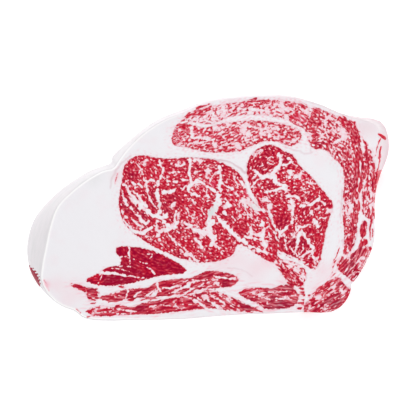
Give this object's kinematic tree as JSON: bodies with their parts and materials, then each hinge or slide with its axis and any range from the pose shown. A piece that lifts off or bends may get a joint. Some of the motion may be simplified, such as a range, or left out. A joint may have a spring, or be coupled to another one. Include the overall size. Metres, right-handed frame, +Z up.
{
  "type": "wagyu ribeye steak",
  "caption": "Raw marbled ribeye steak lying flat: a thick slice across the rib, with a large eye muscle, cap and rib muscles, and thick white fat between and round them.",
  "frame": {"origin": "centre of the bounding box at its base, on the surface that the slice lies on", "axes": "+X along the slice from its thick fat end to the narrow edge strips, +Y towards the cap, +Z up, out of the upper cut face"},
  "size_m": [0.26, 0.1616, 0.032],
  "materials": {
    "marbled_lean": "moist raw lean with fine white fat all through it, satin gloss",
    "pale_lean": "moist raw lean, paler and finely streaked with fat along its grain",
    "dark_lean": "moist raw lean, nearly solid, dark crimson, glossy",
    "white_fat": "firm raw fat, white with a faint pink cast near the lean, waxy satin"
  },
  "bodies": {
    "root": {"eye": "marbled_lean", "inner_shoulder": "marbled_lean", "shoulder_tail": "pale_lean", "inner_cap": "pale_lean", "outer_cap": "pale_lean", "shoulder_band": "pale_lean", "edge_strip": "pale_lean", "edge_lens": "pale_lean", "lower_lobe": "dark_lean", "corner_lobe": "dark_lean", "rib_finger": "dark_lean", "inner_rib_strip": "dark_lean", "outer_rib_strip": "dark_lean", "flank_wedge": "dark_lean", "flank_claw": "dark_lean", "fat_end_lobe": "dark_lean", "fat": "white_fat"}
  },
  "joints": []
}
